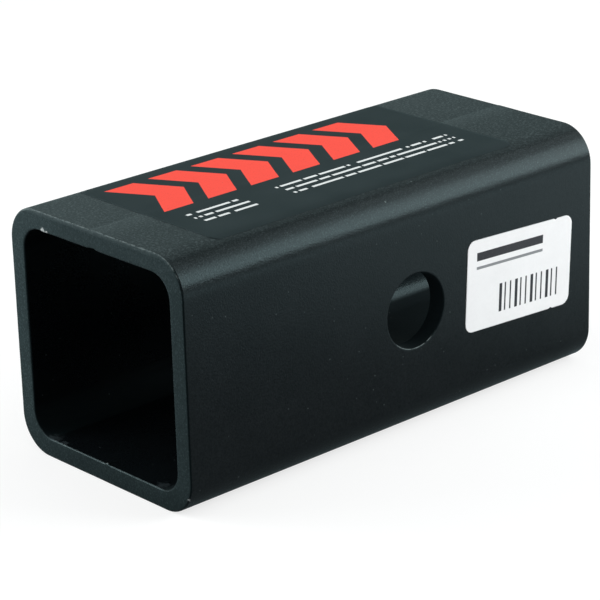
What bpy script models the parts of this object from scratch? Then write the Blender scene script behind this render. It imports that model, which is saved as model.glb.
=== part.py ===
"""A hitch reducer sleeve: a short length of square steel tube that slips into a wide receiver and takes
a narrower shank.

The tube runs along X with its open near end at -X. It lies on its bottom wall at Z = 0, and the
face with the paper label is at -Y. The pin hole is drilled straight across through both side walls.
"""

import math

import bmesh
import bpy
from mathutils import Matrix, Vector
from mathutils.geometry import delaunay_2d_cdt

MM = 0.001

# Square tube, roll formed from strip and welded along the middle of its top wall
SECTION = 63.5 * MM
LENGTH = 136.5 * MM
WALL = 4.95 * MM
OUTER_CORNER_RADIUS = 9.3 * MM
INNER_CORNER_RADIUS = 6.0 * MM
CORNER_STEPS = 12
SEAM_GROOVE_WIDTH = 5.0 * MM
SEAM_GROOVE_DEPTH = 0.35 * MM
EDGE_BREAK = 0.45 * MM

# Pin hole, measured from the far end
PIN_HOLE_DIAMETER = 19.05 * MM
PIN_HOLE_SETBACK = 63.5 * MM
PIN_HOLE_STEPS = 56
HOLE_EDGE_BREAK = 0.5 * MM

# Both stickers lie this far off the coat
STICKER_GAP = 0.3 * MM

# Vinyl decal that covers the top and laps a little way over both bends
DECAL_MARGIN_NEAR = 15.2 * MM
DECAL_MARGIN_FAR = 22.1 * MM
DECAL_LAP = 2.95 * MM
DECAL_CORNER_RADIUS = 2.4 * MM
DECAL_THICKNESS = 0.15 * MM
DECAL_LAP_STEPS = 6

# Fine print along the label side of the decal, as two blocks of plain light lines
FINE_LINE_HEIGHT = 1.0 * MM
FINE_LINE_PITCH = 2.9 * MM
FINE_LINE_COUNT = 3
FINE_PRINT_INSET = 6.5 * MM
FINE_PRINT_RISE = 8.0 * MM
SHORT_BLOCK_LENGTH = 17.0 * MM
BLOCK_GAP = 11.0 * MM

# Chevrons that fill the rest of the decal's width
CHEVRON_STROKE = 9.0 * MM
CHEVRON_SWEEP = 6.5 * MM
CHEVRON_PITCH = 13.6 * MM
CHEVRON_INSET = 4.5 * MM
CHEVRON_MARGIN = 2.4 * MM
CHEVRON_CLEARANCE = 5.2 * MM

# Paper label, stuck on by hand and a little out of level
LABEL_WIDTH = 38.1 * MM
LABEL_HEIGHT = 23.9 * MM
LABEL_CORNER_RADIUS = 2.6 * MM
LABEL_TILT = math.radians(-3.0)
LABEL_THICKNESS = 0.12 * MM
LABEL_MARGIN = 3.4 * MM
LABEL_BAR_HEIGHT = 7.4 * MM
LABEL_BAR_PITCH = 1.9 * MM
LABEL_BAR_INSET = 11.9 * MM
LABEL_BAR_THICK = 1.0 * MM
LABEL_BAR_THIN = 0.5 * MM
LABEL_RULE_HEIGHT = 2.2 * MM
LABEL_RULE_INSET = 10.7 * MM

# Derived places
HALF_LENGTH = LENGTH / 2
AXIS_HEIGHT = SECTION / 2
FLAT_HALF_WIDTH = SECTION / 2 - OUTER_CORNER_RADIUS
PIN_HOLE_RADIUS = PIN_HOLE_DIAMETER / 2
PIN_HOLE_X = HALF_LENGTH - PIN_HOLE_SETBACK
DECAL_LENGTH = LENGTH - DECAL_MARGIN_NEAR - DECAL_MARGIN_FAR
DECAL_X = (DECAL_MARGIN_NEAR - DECAL_MARGIN_FAR) / 2
DECAL_HALF_WIDTH = FLAT_HALF_WIDTH + DECAL_LAP
LABEL_X = (PIN_HOLE_X + PIN_HOLE_RADIUS + HALF_LENGTH) / 2


def clear_scene():
    for obj in list(bpy.data.objects):
        bpy.data.objects.remove(obj, do_unlink=True)


def paint(name, colour, roughness, metallic=0.0):
    """A plain Principled material."""
    made = bpy.data.materials.new(name)
    made.use_nodes = True
    made.diffuse_color = (*colour, 1.0)
    shader = made.node_tree.nodes["Principled BSDF"]
    shader.inputs["Base Color"].default_value = (*colour, 1.0)
    shader.inputs["Roughness"].default_value = roughness
    shader.inputs["Metallic"].default_value = metallic
    return made


def powder_coat():
    return paint("black powder coat", (0.018, 0.023, 0.024), 0.5)


def decal_inks():
    """Black vinyl, then the two inks printed on it."""
    return [
        paint("black vinyl", (0.014, 0.019, 0.020), 0.4),
        paint("coral ink", (0.93, 0.11, 0.08), 0.45),
        paint("white ink", (0.85, 0.85, 0.85), 0.45),
    ]


def label_inks():
    """White paper, then the two tones printed on it."""
    return [
        paint("white paper", (0.88, 0.90, 0.92), 0.7),
        paint("black ink", (0.03, 0.03, 0.035), 0.6),
        paint("grey ink", (0.25, 0.26, 0.27), 0.6),
    ]


def new_object(name, bm, materials, parent):
    mesh = bpy.data.meshes.new(name)
    bm.to_mesh(mesh)
    bm.free()
    for made in materials:
        mesh.materials.append(made)
    obj = bpy.data.objects.new(name, mesh)
    bpy.context.scene.collection.objects.link(obj)
    obj.parent = parent
    return obj


def smooth(mesh):
    """Round walls shade smooth, and edges that turn by more than 35 degrees stay crisp."""
    mesh.shade_smooth()
    mesh.set_sharp_from_angle(angle=math.radians(35))


def square_profile(width, corner_radius, seam_rise):
    """(y, z) points round a square with round corners, centred on the tube's axis.

    The loop starts on the seam in the middle of the top wall, which is drawn with three points so
    that its middle one can rise or fall, and runs anticlockwise as seen from +X.
    """
    half = width / 2
    centre = half - corner_radius
    points = [(0.0, half + seam_rise), (-SEAM_GROOVE_WIDTH / 2, half)]
    for quarter, (side_y, side_z) in enumerate(((-1, 1), (-1, -1), (1, -1), (1, 1)), start=1):
        for step in range(CORNER_STEPS + 1):
            angle = math.radians(90) * (quarter + step / CORNER_STEPS)
            y = side_y * centre + corner_radius * math.cos(angle)
            z = side_z * centre + corner_radius * math.sin(angle)
            points.append((y, z))
    points.append((SEAM_GROOVE_WIDTH / 2, half))
    return points


def tube_blank(parent):
    """The cut length of tube: a ring of faces between the two profiles, extruded along X."""
    bm = bmesh.new()
    outer = square_profile(SECTION, OUTER_CORNER_RADIUS, 0.0)
    inner = square_profile(SECTION - 2 * WALL, INNER_CORNER_RADIUS, SEAM_GROOVE_DEPTH)
    rings = [[bm.verts.new((-HALF_LENGTH, y, z)) for y, z in ring] for ring in (outer, inner)]
    count = len(outer)
    for i in range(count):
        j = (i + 1) % count
        bm.faces.new((rings[0][i], rings[0][j], rings[1][j], rings[1][i]))
    drawn = bmesh.ops.extrude_face_region(bm, geom=bm.faces[:])
    moved = [item for item in drawn["geom"] if isinstance(item, bmesh.types.BMVert)]
    bmesh.ops.translate(bm, verts=moved, vec=(LENGTH, 0, 0))
    bmesh.ops.recalc_face_normals(bm, faces=bm.faces)
    tube = new_object("sleeve_tube", bm, [powder_coat()], parent)
    tube.location = (0, 0, AXIS_HEIGHT)
    return tube


def pin_drill(parent):
    """A cylinder along Y that reaches past both side walls."""
    bm = bmesh.new()
    bmesh.ops.create_cone(
        bm,
        cap_ends=True,
        segments=PIN_HOLE_STEPS,
        radius1=PIN_HOLE_RADIUS,
        radius2=PIN_HOLE_RADIUS,
        depth=SECTION + 2 * WALL,
        matrix=Matrix.Rotation(math.radians(90), 4, "X"),
    )
    drill = new_object("pin_drill", bm, [], parent)
    drill.location = (PIN_HOLE_X, 0, AXIS_HEIGHT)
    drill.display_type = "WIRE"
    drill.hide_render = True
    return drill


def is_hole_rim(edge):
    """Whether both ends of a sharp edge lie on the drilled circle, in a side wall's face."""
    across = all(
        abs(math.hypot(v.co.x - PIN_HOLE_X, v.co.z) - PIN_HOLE_RADIUS) < 0.01 * MM for v in edge.verts
    )
    return across and abs(edge.verts[0].co.y - edge.verts[1].co.y) < 0.01 * MM


def is_end_rim(edge):
    """Whether an edge runs round the inside or the outside of a cut end."""
    ends = [abs(abs(v.co.x) - HALF_LENGTH) < 0.01 * MM for v in edge.verts]
    return all(ends) and edge.calc_face_angle(0.0) > math.radians(60)


def break_edges(bm, chosen, width):
    bmesh.ops.bevel(
        bm,
        geom=chosen,
        offset=width,
        offset_type="OFFSET",
        segments=2,
        profile=0.5,
        affect="EDGES",
        clamp_overlap=False,
    )


def sleeve_tube(parent):
    """The tube with its pin hole drilled across and every cut edge broken for the coat to hold on."""
    tube = tube_blank(parent)
    drill = pin_drill(parent)
    cut = tube.modifiers.new("pin hole", "BOOLEAN")
    cut.operation = "DIFFERENCE"
    cut.object = drill
    drilled = tube.evaluated_get(bpy.context.evaluated_depsgraph_get())
    bm = bmesh.new()
    bm.from_mesh(drilled.data)
    tube.modifiers.remove(cut)
    bpy.data.objects.remove(drill)
    bmesh.ops.dissolve_degenerate(bm, dist=0.001 * MM, edges=bm.edges)
    break_edges(bm, [edge for edge in bm.edges if is_end_rim(edge)], EDGE_BREAK)
    break_edges(bm, [edge for edge in bm.edges if is_hole_rim(edge)], HOLE_EDGE_BREAK)
    bm.to_mesh(tube.data)
    bm.free()
    smooth(tube.data)
    return tube


def flat_slab(outline, folds, prints, thickness):
    """A thin slab on the XY plane, whose top is divided along its printed fields.

    outline is a list of points, folds are pairs of outline indices joined by a straight edge, and
    prints are (polygon, ink) pairs. A face inside a polygon takes that ink's material slot.
    """
    points = [Vector(p) for p in outline]
    areas = [list(range(len(outline)))]
    for polygon, _ in prints:
        areas.append(list(range(len(points), len(points) + len(polygon))))
        points += [Vector(p) for p in polygon]
    places, _, triangles, _, _, sources = delaunay_2d_cdt(points, folds, areas, 1, 0.001 * MM)
    bm = bmesh.new()
    corners = [bm.verts.new((p.x, p.y, 0.0)) for p in places]
    for triangle, source in zip(triangles, sources):
        face = bm.faces.new([corners[i] for i in triangle])
        inks = [prints[area - 1][1] for area in source if area > 0]
        face.material_index = max(inks, default=0)
    bmesh.ops.delete(bm, geom=[v for v in bm.verts if not v.link_faces], context="VERTS")
    raised = bmesh.ops.extrude_face_region(bm, geom=bm.faces[:])
    moved = [item for item in raised["geom"] if isinstance(item, bmesh.types.BMVert)]
    bmesh.ops.translate(bm, verts=moved, vec=(0, 0, thickness))
    bmesh.ops.recalc_face_normals(bm, faces=bm.faces)
    return bm


def rectangle(left, bottom, width, height):
    return [(left, bottom), (left + width, bottom), (left + width, bottom + height), (left, bottom + height)]


def decal_outline():
    """The decal laid flat: rows of points across its width, denser where it laps over the bends.

    A row's ends draw in near the decal's long edges, which rounds its four corners. The far and near
    ends of each row are joined by a fold.
    """
    lap = [FLAT_HALF_WIDTH + DECAL_LAP * i / DECAL_LAP_STEPS for i in range(DECAL_LAP_STEPS + 1)]
    rows = [-v for v in reversed(lap)] + lap
    ends = []
    for v in rows:
        into_corner = max(0.0, abs(v) - (DECAL_HALF_WIDTH - DECAL_CORNER_RADIUS))
        drawn_in = DECAL_CORNER_RADIUS - math.sqrt(max(0.0, DECAL_CORNER_RADIUS**2 - into_corner**2))
        ends.append(DECAL_LENGTH / 2 - drawn_in)
    outline = [(u, v) for u, v in zip(ends, rows)] + [(-u, v) for u, v in zip(reversed(ends), reversed(rows))]
    folds = [(i, len(outline) - 1 - i) for i in range(len(rows))]
    return outline, folds[1:-1]


def chevrons():
    """A row of chevrons that point to the far end, as many as the decal is long enough for."""
    top = FLAT_HALF_WIDTH - CHEVRON_MARGIN
    fine_print_depth = (FINE_LINE_COUNT - 1) * FINE_LINE_PITCH + FINE_LINE_HEIGHT
    bottom = -FLAT_HALF_WIDTH + FINE_PRINT_RISE + fine_print_depth + CHEVRON_CLEARANCE
    middle = (top + bottom) / 2
    room = DECAL_LENGTH - 2 * CHEVRON_INSET - CHEVRON_STROKE - CHEVRON_SWEEP
    fields = []
    for i in range(int(room / CHEVRON_PITCH) + 1):
        left = -DECAL_LENGTH / 2 + CHEVRON_INSET + i * CHEVRON_PITCH
        right = left + CHEVRON_STROKE
        tip = CHEVRON_SWEEP
        fields.append(
            [(left, bottom), (right, bottom), (right + tip, middle), (right, top), (left, top), (left + tip, middle)]
        )
    return fields


def fine_print():
    """Two blocks of plain light lines: a short one at the near end and a long one at the far end."""
    left = -DECAL_LENGTH / 2 + FINE_PRINT_INSET
    long_left = left + SHORT_BLOCK_LENGTH + BLOCK_GAP
    long_length = DECAL_LENGTH / 2 - FINE_PRINT_INSET - long_left
    fields = []
    for i in range(FINE_LINE_COUNT):
        bottom = -FLAT_HALF_WIDTH + FINE_PRINT_RISE + i * FINE_LINE_PITCH
        fields.append(rectangle(left, bottom, SHORT_BLOCK_LENGTH, FINE_LINE_HEIGHT))
        fields.append(rectangle(long_left, bottom, long_length, FINE_LINE_HEIGHT))
    return fields


def wrap_over_bends(bm):
    """Bends a flat decal over the tube: what lies past the flat of the wall follows the corner's arc."""
    for vert in bm.verts:
        u, v, height = vert.co
        radius = OUTER_CORNER_RADIUS + STICKER_GAP + height
        turn = max(0.0, abs(v) - FLAT_HALF_WIDTH) / OUTER_CORNER_RADIUS
        y = min(abs(v), FLAT_HALF_WIDTH) + radius * math.sin(turn)
        z = radius * math.cos(turn) - OUTER_CORNER_RADIUS
        vert.co = (u, math.copysign(y, v), z)


def top_decal(parent):
    outline, folds = decal_outline()
    prints = [(field, 1) for field in chevrons()] + [(field, 2) for field in fine_print()]
    bm = flat_slab(outline, folds, prints, DECAL_THICKNESS)
    wrap_over_bends(bm)
    decal = new_object("top_decal", bm, decal_inks(), parent)
    decal.location = (DECAL_X, 0, SECTION)
    smooth(decal.data)
    return decal


def rounded_rectangle(width, height, radius, steps=6):
    points = []
    for quarter, (side_x, side_y) in enumerate(((1, 1), (-1, 1), (-1, -1), (1, -1))):
        for step in range(steps + 1):
            angle = math.radians(90) * (quarter + step / steps)
            x = side_x * (width / 2 - radius) + radius * math.cos(angle)
            y = side_y * (height / 2 - radius) + radius * math.sin(angle)
            points.append((x, y))
    return points


def label_bars():
    """Upright bars of two widths along the label's lower half, as many as there is room for."""
    bottom = -LABEL_HEIGHT / 2 + LABEL_MARGIN
    start = -LABEL_WIDTH / 2 + LABEL_BAR_INSET
    room = LABEL_WIDTH - LABEL_BAR_INSET - LABEL_MARGIN
    fields = []
    for i in range(int(room / LABEL_BAR_PITCH)):
        width = LABEL_BAR_THIN if i % 3 else LABEL_BAR_THICK
        fields.append(rectangle(start + i * LABEL_BAR_PITCH, bottom, width, LABEL_BAR_HEIGHT))
    return fields


def label_rules():
    """Two rules along the label's upper half: (field, ink) pairs, the heavy one black, the light one grey."""
    left = -LABEL_WIDTH / 2 + LABEL_MARGIN
    length = LABEL_WIDTH - LABEL_MARGIN - LABEL_RULE_INSET
    top = LABEL_HEIGHT / 2 - LABEL_MARGIN
    heavy = rectangle(left, top - LABEL_RULE_HEIGHT, length, LABEL_RULE_HEIGHT)
    light = rectangle(left, top - 2 * LABEL_RULE_HEIGHT, length, LABEL_RULE_HEIGHT / 3)
    return [(heavy, 1), (light, 2)]


def side_label(parent):
    outline = rounded_rectangle(LABEL_WIDTH, LABEL_HEIGHT, LABEL_CORNER_RADIUS)
    prints = [(field, 1) for field in label_bars()] + label_rules()
    bm = flat_slab(outline, [], prints, LABEL_THICKNESS)
    label = new_object("side_label", bm, label_inks(), parent)
    label.location = (LABEL_X, -SECTION / 2 - STICKER_GAP, AXIS_HEIGHT)
    label.rotation_euler = (math.radians(90), -LABEL_TILT, 0)
    smooth(label.data)
    return label


def build():
    clear_scene()
    sleeve = bpy.data.objects.new("hitch_reducer_sleeve", None)
    bpy.context.scene.collection.objects.link(sleeve)
    sleeve_tube(sleeve)
    top_decal(sleeve)
    side_label(sleeve)


build()
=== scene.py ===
"""A hitch reducer sleeve on a pale studio floor, seen as the photograph shows it.

The sleeve is a drilled length of square steel tube. It lies along X on its bottom wall, its open near
end at -X and its label side at -Y. Lengths are in metres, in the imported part's own frame.
"""

import math

import bpy
import numpy as np
from mathutils import Matrix, Quaternion, Vector


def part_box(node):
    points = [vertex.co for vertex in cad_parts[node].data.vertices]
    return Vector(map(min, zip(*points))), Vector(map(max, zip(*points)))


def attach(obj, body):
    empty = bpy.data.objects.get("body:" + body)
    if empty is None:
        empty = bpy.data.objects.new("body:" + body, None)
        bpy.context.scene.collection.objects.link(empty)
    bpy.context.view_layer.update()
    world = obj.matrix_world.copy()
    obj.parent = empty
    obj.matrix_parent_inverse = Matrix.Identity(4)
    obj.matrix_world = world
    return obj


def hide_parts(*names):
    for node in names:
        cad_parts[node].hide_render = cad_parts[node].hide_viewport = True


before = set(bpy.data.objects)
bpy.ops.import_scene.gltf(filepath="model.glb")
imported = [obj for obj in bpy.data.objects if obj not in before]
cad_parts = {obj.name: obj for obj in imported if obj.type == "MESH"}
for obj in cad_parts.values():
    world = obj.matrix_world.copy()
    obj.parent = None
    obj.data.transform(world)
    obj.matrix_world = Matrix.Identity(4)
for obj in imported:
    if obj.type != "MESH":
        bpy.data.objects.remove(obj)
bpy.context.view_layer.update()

# The sleeve itself: one cut length of square steel tube, roll formed from strip and welded along the
# middle of its top wall. It is drilled straight across for the hitch pin, its saw-cut ends and drilled
# rims are lightly rounded, and it is powder coated black inside and out.
MM = 0.001
tube_low, tube_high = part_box("sleeve_tube")
HALF_LENGTH = tube_high.x
HALF_WIDTH = tube_high.y
AXIS_HEIGHT = (tube_low.z + tube_high.z) / 2
WALL = 4.95 * MM
OUTER_BEND = 9.3 * MM
INNER_BEND = 6.0 * MM
FLAT_HALF_WIDTH = HALF_WIDTH - OUTER_BEND
EDGE_ROUND = 0.45 * MM
PIN_HOLE_RADIUS = 19.05 * MM / 2
PIN_HOLE_SETBACK = 63.5 * MM
PIN_HOLE_X = HALF_LENGTH - PIN_HOLE_SETBACK

BEND_STEPS = 16
ROUND_STEPS = 5
CUT_FACE_STEPS = 8
FLAT_STEPS = 40
FLAT_CROWDING = 1.5
PATCH_STEPS = 28
LENGTH_STEPS = 34
BORE_STEPS = 5
COLLAR_STOPS = (0.35, 0.65, 0.88, 0.97)
EDGE_ROW_GAP = 0.12 * MM

WELD_Y = 0.4 * MM
WELD_GROOVE_DEPTH = 0.35 * MM
WELD_GROOVE_WIDTH = 1.3 * MM
WELD_STEP = 0.08 * MM
WELD_STEP_RUN = 0.12 * MM
WELD_STEP_FADE = 7 * MM
SAW_WANDER = 0.05 * MM
SAW_REACH = 1.5 * MM
SAW_WAVE_Y = 3.1 * MM
SAW_WAVE_Z = 4.3 * MM
SAW_WAVE_SLANT = 1.7 * MM
BURR_HEIGHT = 0.55 * MM
BURR_WIDTH = 0.45 * MM
BURR = Vector((-HALF_LENGTH, -0.6 * MM, WALL))

# How far from its sharp corner the crest of a rounded edge lies, and how handling marks it. Highlights on the
# up-facing edges and the holes' lower rims, and shade along the upright end edges, are painted in.
EDGE_CREST = 0.19 * MM
RUB_WIDTH = 0.35 * MM
RUB_ANYWHERE = 0.25
RUB_AND_LIGHT_OUTER_TOP = 0.85
RUB_AND_LIGHT_INNER_BOTTOM = 0.50
HOLE_HIGHLIGHT = 1.25
HOLE_HIGHLIGHT_WIDTH = 0.12 * MM
EDGE_SHADE_WIDTH = 0.2 * MM
CUT_FACE_RUN = 0.25 * MM
INNER_SKIN = (0.93, 0.99)
BORE_SKIN = (1.2 * EDGE_ROUND, 0.2 * EDGE_ROUND)
SIDE_WALL_DEPTH = 1.1 * WALL

# Where the zones of the tube begin and where they are full.
OUTER_TOP = (55 * MM, 60 * MM)
INNER_BOTTOM = (9 * MM, 6 * MM)
HOLE_BOTTOM = (AXIS_HEIGHT - 4 * MM, AXIS_HEIGHT - 8 * MM)
UPRIGHT_EDGES = (27 * MM, 30 * MM)
FAR_FLOOR = (30 * MM, 45 * MM)
FLOOR_HEIGHT = (6.9 * MM, 6.5 * MM)
LOWER_BENDS_OUT = (20.5 * MM, 22 * MM)
LOWER_BENDS_HEIGHT = (12 * MM, 10.5 * MM)


def crowded(steps, reach):
    """Stops from -reach to +reach that lie closer together in the middle.

    For s in even steps from -1 to +1 a stop is at reach * sign(s) * |s| ** FLAT_CROWDING.
    """
    s = np.linspace(-1.0, 1.0, steps + 1)
    return reach * np.sign(s) * np.abs(s) ** FLAT_CROWDING


def square_round(flat_stops):
    """Where each stop round a square with round bends lies: (corner, normal), two arrays of (y, z).

    For a given half width and bend radius the stop is (half - radius) * corner + radius * normal. Along a
    flat the corner slides and the normal stands still. Round a bend the corner stands and the normal turns.
    """
    bend = np.arange(1, BEND_STEPS) / BEND_STEPS * math.pi / 2
    slide = np.concatenate([flat_stops, np.ones(len(bend))])
    turn = np.concatenate([np.zeros(len(flat_stops)), bend])
    wall = (np.arange(4) * math.pi / 2)[:, None]
    corner = np.stack(
        [np.cos(wall) - slide * np.sin(wall), np.sin(wall) + slide * np.cos(wall)], axis=-1
    )
    normal = np.stack([np.cos(wall + turn), np.sin(wall + turn)], axis=-1)
    return corner.reshape(-1, 2), normal.reshape(-1, 2)


def wall_section(x_stops):
    """The loop round the wall's own section, cut along the tube: (x, depth) of each stop.

    It runs out along the coat, over the far cut face, back along the inside and over the near cut face.
    Each of the four edges is a quarter circle of the edge round's radius.
    """
    quarter = np.arange(1, ROUND_STEPS) / ROUND_STEPS * math.pi / 2
    rise = EDGE_ROUND * np.sin(quarter)
    sink = EDGE_ROUND * (1 - np.cos(quarter))
    face = np.linspace(EDGE_ROUND, WALL - EDGE_ROUND, CUT_FACE_STEPS + 1)
    edge_x = HALF_LENGTH - EDGE_ROUND
    over_x = np.concatenate([edge_x + rise, np.full(len(face), HALF_LENGTH), (edge_x + rise)[::-1]])
    over_depth = np.concatenate([sink, face, WALL - sink[::-1]])
    x = np.concatenate([x_stops, over_x, x_stops[::-1], -over_x])
    depth = np.concatenate(
        [np.zeros(len(x_stops)), over_depth, np.full(len(x_stops), WALL), over_depth[::-1]]
    )
    return x, depth


def grid_quads(index, around_rows, around_columns):
    """Quads between neighbours of a grid of point numbers, wrapped round in the directions asked for."""
    rows = np.roll(index, -1, axis=0) if around_rows else index[1:]
    here = index if around_rows else index[:-1]
    if around_columns:
        return np.stack([here, np.roll(here, -1, axis=1), np.roll(rows, -1, axis=1), rows], axis=-1)
    return np.stack([here[:, :-1], here[:, 1:], rows[:, 1:], rows[:, :-1]], axis=-1)


def rectangle_ring(index, columns, rows):
    """Numbers of the points round a rectangle of the grid, in order, each once."""
    return np.concatenate(
        [
            index[columns[:-1], rows[0]],
            index[columns[-1], rows[:-1]],
            index[columns[:0:-1], rows[-1]],
            index[columns[0], rows[:0:-1]],
        ]
    )


def hole_collar(outer, inner, side):
    """Points that lead from a square opening in the coat, over the drilled rim, through the bore and over
    the inner rim to the square opening inside, as rows of (x, y, z).

    In a flat row each point lies on the straight line from the square to the rim circle. In the rims the
    radius and the depth follow a quarter circle, and in the bore only the depth changes.
    """
    quarter = np.linspace(0, math.pi / 2, ROUND_STEPS + 1)
    radius = PIN_HOLE_RADIUS + EDGE_ROUND * (1 - np.sin(quarter))
    depth = EDGE_ROUND * (1 - np.cos(quarter))
    bore = np.linspace(EDGE_ROUND, WALL - EDGE_ROUND, BORE_STEPS + 1)[1:-1]
    radii = np.concatenate([radius, np.full(len(bore), PIN_HOLE_RADIUS), radius[::-1]])
    depths = np.concatenate([depth, bore, WALL - depth[::-1]])
    angle = np.arctan2(outer[:, 2] - AXIS_HEIGHT, outer[:, 0] - PIN_HOLE_X)
    x = PIN_HOLE_X + radii[:, None] * np.cos(angle)
    z = AXIS_HEIGHT + radii[:, None] * np.sin(angle)
    y = np.broadcast_to(side * (HALF_WIDTH - depths)[:, None], x.shape)
    round_rows = np.stack([x, y, z], axis=-1)
    share = np.array(COLLAR_STOPS)[:, None, None]
    lead_in = outer + share * (round_rows[0] - outer)
    lead_out = inner + share[::-1] * (round_rows[-1] - inner)
    return np.concatenate([lead_in, round_rows, lead_out])


def tube_surface():
    """The whole skin of the drilled tube: points, quads and how deep in the wall each point lies, 0 to 1.

    The skin is the wall's section carried round the square. Each point lies on the straight line from the
    outer square to the inner one, as far along as its depth in the wall. Where the pin passes, a square
    patch is left out of both skins of a side wall and a collar joins them through the bore.
    """
    patch = FLAT_HALF_WIDTH * (PATCH_STEPS / FLAT_STEPS) ** FLAT_CROWDING
    edge = HALF_LENGTH - EDGE_ROUND
    hole_stops = PIN_HOLE_X + crowded(PATCH_STEPS, patch)
    near_stops = np.linspace(-edge + EDGE_ROW_GAP, hole_stops[0], LENGTH_STEPS + 1)[:-1]
    far_stops = np.linspace(hole_stops[-1], edge - EDGE_ROW_GAP, LENGTH_STEPS + 1)[1:]
    x_stops = np.concatenate([[-edge], near_stops, hole_stops, far_stops, [edge]])
    flat_stops = crowded(FLAT_STEPS, 1.0)
    corner, normal = square_round(flat_stops)
    outer = (HALF_WIDTH - OUTER_BEND) * corner + OUTER_BEND * normal
    inner = (HALF_WIDTH - WALL - INNER_BEND) * corner + INNER_BEND * normal
    x, depth = wall_section(x_stops)
    through = depth / WALL
    cross = outer + through[:, None, None] * (inner - outer)
    points = np.empty((len(x), len(outer), 3))
    points[:, :, 0] = x[:, None]
    points[:, :, 1:] = cross
    points[:, :, 2] += AXIS_HEIGHT

    index = np.arange(points.shape[0] * points.shape[1]).reshape(points.shape[:2])
    kept = np.ones(index.shape, bool)
    first = 1 + LENGTH_STEPS
    out_columns = np.arange(first, first + PATCH_STEPS + 1)
    back_start = len(x_stops) + (len(x) - 2 * len(x_stops)) // 2
    in_columns = back_start + len(x_stops) - 1 - out_columns
    margin = (FLAT_STEPS - PATCH_STEPS) // 2
    stops_per_wall = len(corner) // 4
    flat_points = points.reshape(-1, 3)
    parts, all_points, depths = [], [flat_points], [np.broadcast_to(through[:, None], index.shape).ravel()]
    for wall, side in ((0, 1), (2, -1)):
        rows = wall * stops_per_wall + margin + np.arange(PATCH_STEPS + 1)
        for columns in (out_columns, in_columns):
            kept[columns.min() : columns.max(), rows[0] : rows[-1]] = False
        outer_ring = rectangle_ring(index, out_columns, rows)
        inner_ring = rectangle_ring(index, in_columns, rows)
        collar = hole_collar(flat_points[outer_ring], flat_points[inner_ring], side)
        start = sum(len(p) for p in all_points)
        numbers = start + np.arange(collar.shape[0] * collar.shape[1]).reshape(collar.shape[:2])
        numbers = np.concatenate([outer_ring[None], numbers, inner_ring[None]])
        parts.append(grid_quads(numbers, False, True)[..., ::-1].reshape(-1, 4))
        all_points.append(collar.reshape(-1, 3))
        depths.append((HALF_WIDTH - np.abs(collar[..., 1])).ravel() / WALL)
    skin = grid_quads(index, True, True)
    parts.append(skin[kept])
    return np.concatenate(all_points), np.concatenate(parts), np.concatenate(depths)


def climb(value, start, end):
    """0 up to start, 1 from end on, and straight between. The end may be the lower number."""
    return np.clip((value - start) / (end - start), 0, 1)


def worked_metal(points, through):
    """The marks that making the tube left in its shape, as moves of a few hundredths of a millimetre.

    Inside, the weld's bead was planed to a shallow groove, a bell curve across Y. Outside it was shaved,
    which leaves one side a little higher: a smooth step. The saw wandered over the ends by a sum of slow
    sines, and left one burr, a bell curve round its own point on the near end's inner edge.
    """
    x, y, z = points.T
    top = climb(z, AXIS_HEIGHT + HALF_WIDTH / 3, AXIS_HEIGHT + HALF_WIDTH * 2 / 3)
    from_weld = y - WELD_Y
    groove = WELD_GROOVE_DEPTH * np.exp(-((from_weld / WELD_GROOVE_WIDTH) ** 2)) * through
    step = WELD_STEP / (1 + np.exp(from_weld / WELD_STEP_RUN))
    step = step * np.exp(-((from_weld / WELD_STEP_FADE) ** 2))
    moved_z = z + top * (groove + step * (1 - through))
    end = climb(np.abs(x), HALF_LENGTH - SAW_REACH, HALF_LENGTH)
    wander = np.sin(y / SAW_WAVE_Y) * np.sin(z / SAW_WAVE_Z + 1)
    wander = wander + 0.5 * np.sin((y + 2 * z) / SAW_WAVE_SLANT)
    moved_x = x - np.sign(x) * end * SAW_WANDER * (1 + wander / 1.5) / 2
    away = np.linalg.norm(points - np.array(BURR), axis=1)
    moved_z += BURR_HEIGHT * np.exp(-((away / BURR_WIDTH) ** 2))
    return np.stack([moved_x, y, moved_z], axis=1)


def rubbed_share(points, through):
    """How far handling has rubbed each point, plus painted highlight: most on the crests of the edges, none
    half a millimetre off.

    The crests are the rims of both cut ends and of both drilled holes, and the share falls straight with the
    distance from the sharp corner. The outer top edge, where a shank is dropped in, and the inner bottom
    edge, where it slides, get the most: partly wear, partly a painted highlight where these edges catch the
    light. A narrow painted highlight lies on each hole's lower outer rim.
    """
    x, y, z = points.T
    from_end = HALF_LENGTH - np.abs(x)
    from_skin = np.minimum(through, 1 - through) * WALL
    from_bore = np.hypot(x - PIN_HOLE_X, z - AXIS_HEIGHT) - PIN_HOLE_RADIUS
    at_end = np.hypot(from_end, from_skin)
    at_hole = np.where(np.abs(y) > HALF_WIDTH - SIDE_WALL_DEPTH, np.hypot(from_bore, from_skin), 1.0)
    crest = climb(np.minimum(at_end, at_hole), EDGE_CREST + RUB_WIDTH, EDGE_CREST)
    outer_top = climb(z, *OUTER_TOP) * (through < 0.5)
    inner_bottom = climb(z, *INNER_BOTTOM) * (through > 0.5)
    hole_bottom = climb(z, *HOLE_BOTTOM) * (through < 0.5)
    hole_highlight = HOLE_HIGHLIGHT * hole_bottom * climb(at_hole, EDGE_CREST + HOLE_HIGHLIGHT_WIDTH, EDGE_CREST)
    rubbed = RUB_ANYWHERE + RUB_AND_LIGHT_OUTER_TOP * outer_top + RUB_AND_LIGHT_INNER_BOTTOM * inner_bottom
    return np.maximum(crest * rubbed, hole_highlight)


def thick_share(points, through):
    """Painted shade: a dark line along the upright outer edges of the ends.

    1 on the edge's crest, less straight with the distance from it, times a rise over Y up to the side walls.
    """
    x, y, z = points.T
    from_edge = np.hypot(HALF_LENGTH - np.abs(x), through * WALL)
    return climb(from_edge, EDGE_CREST + EDGE_SHADE_WIDTH, EDGE_CREST) * climb(np.abs(y), *UPRIGHT_EDGES)


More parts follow.
